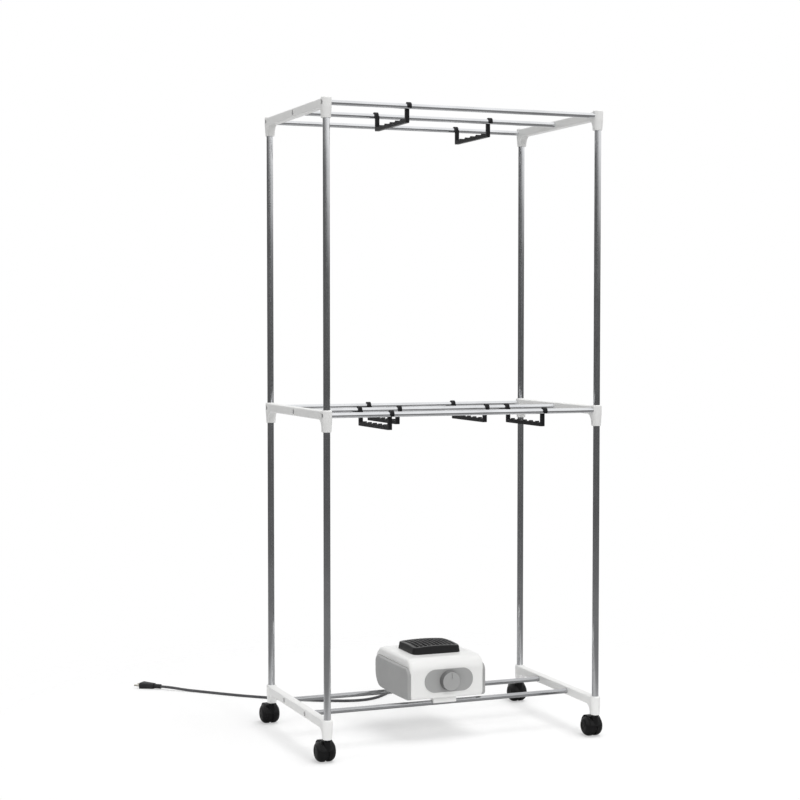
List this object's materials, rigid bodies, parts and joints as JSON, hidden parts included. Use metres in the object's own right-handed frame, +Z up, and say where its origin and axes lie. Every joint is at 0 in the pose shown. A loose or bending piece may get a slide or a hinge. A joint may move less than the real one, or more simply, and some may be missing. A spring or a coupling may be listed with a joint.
{
  "type": "portable clothes dryer",
  "caption": "Wheeled tube rack for drying clothes, with sliding hanger bars and a fan heater on its bottom rails that blows warm air up through a grille.",
  "frame": {"origin": "on the floor, midway between the four uprights", "axes": "+Z up, -Y is the front with the heater's control panel, +X to the right seen from the front"},
  "size_m": [0.916, 0.9833, 1.484],
  "materials": {
    "white_plastic": "satin white moulding",
    "chrome_tube": "bright plated tube",
    "screw_steel": "plain zinc",
    "inner_plastic": "unpainted moulding",
    "caster_plastic": "black moulding",
    "caster_tread": "black nylon wheel",
    "black_plastic": "black moulding",
    "grey_plastic": "fine textured grey",
    "grille_plastic": "charcoal moulding",
    "fan_plastic": "dark moulding",
    "motor_steel": "drawn steel can",
    "element_metal": "bare fins",
    "cord_rubber": "matte sheath",
    "tie_plastic": "flat strap"
  },
  "bodies": {
    "frame": {"bottom_left_bar": "white_plastic", "bottom_right_bar": "white_plastic", "middle_left_bar": "white_plastic", "middle_right_bar": "white_plastic", "top_left_bar": "white_plastic", "top_right_bar": "white_plastic", "lower_upright_front_left": "chrome_tube", "lower_upright_rear_left": "chrome_tube", "lower_upright_front_right": "chrome_tube", "lower_upright_rear_right": "chrome_tube", "upper_upright_front_left": "chrome_tube", "upper_upright_rear_left": "chrome_tube", "upper_upright_front_right": "chrome_tube", "upper_upright_rear_right": "chrome_tube", "bottom_rail_front": "chrome_tube", "bottom_rail_rear": "chrome_tube", "middle_rail_front": "chrome_tube", "middle_rail_centre": "chrome_tube", "middle_rail_rear": "chrome_tube", "top_rail_front": "chrome_tube", "top_rail_centre": "chrome_tube", "top_rail_rear": "chrome_tube", "rail_screws": "screw_steel", "caster_stems": "screw_steel", "rail_plugs": "inner_plastic", "timer": "inner_plastic", "heater_shell": "white_plastic", "heater_base": "white_plastic", "heater_cap_left": "grey_plastic", "heater_cap_right": "grey_plastic", "control_panel": "grey_plastic", "outlet_grille": "grille_plastic", "fan_motor": "motor_steel", "heating_element": "element_metal", "cord_gland": "cord_rubber", "cord_from_heater": "cord_rubber", "cord_coil": "cord_rubber", "cord_to_plug": "cord_rubber", "plug": "cord_rubber", "coil_tie": "tie_plastic"},
    "swivel_front_left": {"caster_front_left": "caster_plastic"},
    "roller_front_left_left": {"wheel_front_left_left": "caster_tread"},
    "roller_front_left_right": {"wheel_front_left_right": "caster_tread"},
    "swivel_rear_left": {"caster_rear_left": "caster_plastic"},
    "roller_rear_left_left": {"wheel_rear_left_left": "caster_tread"},
    "roller_rear_left_right": {"wheel_rear_left_right": "caster_tread"},
    "swivel_front_right": {"caster_front_right": "caster_plastic"},
    "roller_front_right_left": {"wheel_front_right_left": "caster_tread"},
    "roller_front_right_right": {"wheel_front_right_right": "caster_tread"},
    "swivel_rear_right": {"caster_rear_right": "caster_plastic"},
    "roller_rear_right_left": {"wheel_rear_right_left": "caster_tread"},
    "roller_rear_right_right": {"wheel_rear_right_right": "caster_tread"},
    "sliding_hanger_bar_top_front": {"hanger_bar_top_front": "black_plastic"},
    "sliding_hanger_bar_top_rear": {"hanger_bar_top_rear": "black_plastic"},
    "sliding_hanger_bar_left_front": {"hanger_bar_left_front": "black_plastic"},
    "sliding_hanger_bar_left_rear": {"hanger_bar_left_rear": "black_plastic"},
    "sliding_hanger_bar_right_rear": {"hanger_bar_right_rear": "black_plastic"},
    "sliding_hanger_bar_right_front": {"hanger_bar_right_front": "black_plastic"},
    "knob": {"timer_knob": "grey_plastic"},
    "fan": {"fan_impeller": "fan_plastic"}
  },
  "joints": [
    {"name": "front_left_swivel", "type": "hinge", "parent": "frame", "child": "swivel_front_left", "pos_m": [-0.338, -0.206, 0.05], "axis": [0, 0, 1], "continuous": true},
    {"name": "front_left_left_roll", "type": "hinge", "parent": "swivel_front_left", "child": "roller_front_left_left", "pos_m": [-0.338, -0.188, 0.024], "axis": [1, 0, 0], "continuous": true},
    {"name": "front_left_right_roll", "type": "hinge", "parent": "swivel_front_left", "child": "roller_front_left_right", "pos_m": [-0.338, -0.188, 0.024], "axis": [1, 0, 0], "continuous": true},
    {"name": "rear_left_swivel", "type": "hinge", "parent": "frame", "child": "swivel_rear_left", "pos_m": [-0.338, 0.206, 0.05], "axis": [0, 0, 1], "continuous": true},
    {"name": "rear_left_left_roll", "type": "hinge", "parent": "swivel_rear_left", "child": "roller_rear_left_left", "pos_m": [-0.338, 0.224, 0.024], "axis": [1, 0, 0], "continuous": true},
    {"name": "rear_left_right_roll", "type": "hinge", "parent": "swivel_rear_left", "child": "roller_rear_left_right", "pos_m": [-0.338, 0.224, 0.024], "axis": [1, 0, 0], "continuous": true},
    {"name": "front_right_swivel", "type": "hinge", "parent": "frame", "child": "swivel_front_right", "pos_m": [0.338, -0.206, 0.05], "axis": [0, 0, 1], "continuous": true},
    {"name": "front_right_left_roll", "type": "hinge", "parent": "swivel_front_right", "child": "roller_front_right_left", "pos_m": [0.338, -0.188, 0.024], "axis": [1, 0, 0], "continuous": true},
    {"name": "front_right_right_roll", "type": "hinge", "parent": "swivel_front_right", "child": "roller_front_right_right", "pos_m": [0.338, -0.188, 0.024], "axis": [1, 0, 0], "continuous": true},
    {"name": "rear_right_swivel", "type": "hinge", "parent": "frame", "child": "swivel_rear_right", "pos_m": [0.338, 0.206, 0.05], "axis": [0, 0, 1], "continuous": true},
    {"name": "rear_right_left_roll", "type": "hinge", "parent": "swivel_rear_right", "child": "roller_rear_right_left", "pos_m": [0.338, 0.224, 0.024], "axis": [1, 0, 0], "continuous": true},
    {"name": "rear_right_right_roll", "type": "hinge", "parent": "swivel_rear_right", "child": "roller_rear_right_right", "pos_m": [0.338, 0.224, 0.024], "axis": [1, 0, 0], "continuous": true},
    {"name": "hanger_bar_top_front_slide", "type": "slide", "parent": "frame", "child": "sliding_hanger_bar_top_front", "axis": [1, 0, 0], "range_m": [-0.17, 0.136]},
    {"name": "hanger_bar_top_rear_slide", "type": "slide", "parent": "frame", "child": "sliding_hanger_bar_top_rear", "axis": [1, 0, 0], "range_m": [-0.147, 0.159]},
    {"name": "hanger_bar_left_front_slide", "type": "slide", "parent": "frame", "child": "sliding_hanger_bar_left_front", "axis": [1, 0, 0], "range_m": [-0.128, 0.044]},
    {"name": "hanger_bar_left_rear_slide", "type": "slide", "parent": "frame", "child": "sliding_hanger_bar_left_rear", "axis": [1, 0, 0], "range_m": [-0.045, 0.108]},
    {"name": "hanger_bar_right_rear_slide", "type": "slide", "parent": "frame", "child": "sliding_hanger_bar_right_rear", "axis": [1, 0, 0], "range_m": [-0.109, 0.02]},
    {"name": "hanger_bar_right_front_slide", "type": "slide", "parent": "frame", "child": "sliding_hanger_bar_right_front", "axis": [1, 0, 0], "range_m": [-0.022, 0.112]},
    {"name": "timer_turn", "type": "hinge", "parent": "frame", "child": "knob", "pos_m": [0.0035, -0.104, 0.142], "axis": [0, 1, 0], "range_deg": [0, 300]},
    {"name": "fan_spin", "type": "hinge", "parent": "frame", "child": "fan", "pos_m": [0, 0.012, 0.147], "axis": [0, 0, 1], "continuous": true}
  ]
}
